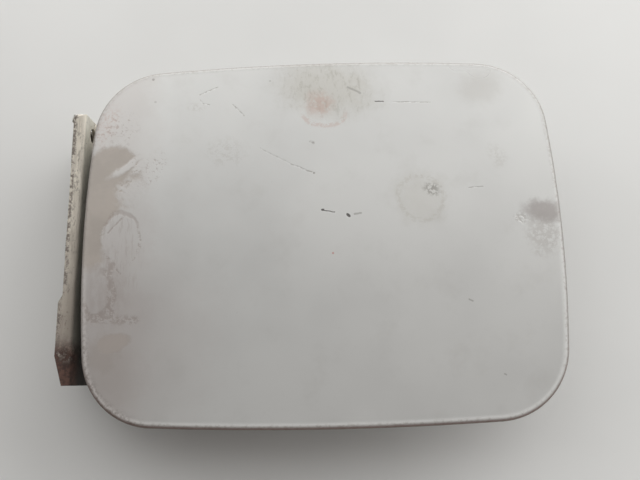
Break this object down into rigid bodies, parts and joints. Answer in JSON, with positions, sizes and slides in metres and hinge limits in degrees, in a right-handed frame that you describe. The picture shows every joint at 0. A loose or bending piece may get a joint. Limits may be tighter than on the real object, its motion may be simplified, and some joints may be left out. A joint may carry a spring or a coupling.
{
  "type": "car fuel door",
  "caption": "Crowned sheet-steel fuel filler door with folded hem, channelled inner panel, gooseneck spring hinge on a screw-on bracket and a latch striker.",
  "frame": {"origin": "seat of the body bracket, midway between its two screw holes", "axes": "+X from the hinge to the latch side, +Z out of the painted face, +Y along the hinge"},
  "size_m": [0.2115, 0.1554, 0.0346],
  "materials": {
    "door_paint": "aged semi-gloss silver-white paint",
    "inner_paint": "satin overspray paint",
    "arm_paint": "scuffed paint with rusty chips",
    "bracket_paint": "scuffed paint",
    "plain_steel": "bare steel, dull",
    "spring_steel": "dark oiled steel",
    "zinc": "passivated zinc",
    "rivet": "dull aluminium",
    "nylon": "natural nylon",
    "rubber": "matt black rubber",
    "mastic": "cured mastic"
  },
  "bodies": {
    "bracket": {"body_bracket": "bracket_paint", "hinge_pin": "plain_steel", "pin_clip": "spring_steel", "thrust_washer": "plain_steel", "torsion_spring": "spring_steel"},
    "door": {"outer_skin": "door_paint", "inner_panel": "inner_paint", "flutter_mastic": "mastic", "weld_nuts": "plain_steel", "hinge_arm": "arm_paint", "arm_bolts": "zinc", "bush_far": "nylon", "bush_near": "nylon", "striker": "zinc", "striker_rivets": "rivet", "bumper_far": "rubber", "bumper_near": "rubber"}
  },
  "joints": [
    {"name": "door_hinge", "type": "hinge", "parent": "bracket", "child": "door", "pos_m": [-0.009, 0, 0.0215], "axis": [0, -1, 0], "range_deg": [0, 80], "stiffness_Nm_per_rad": 0.02, "springref_deg": 85.94}
  ]
}
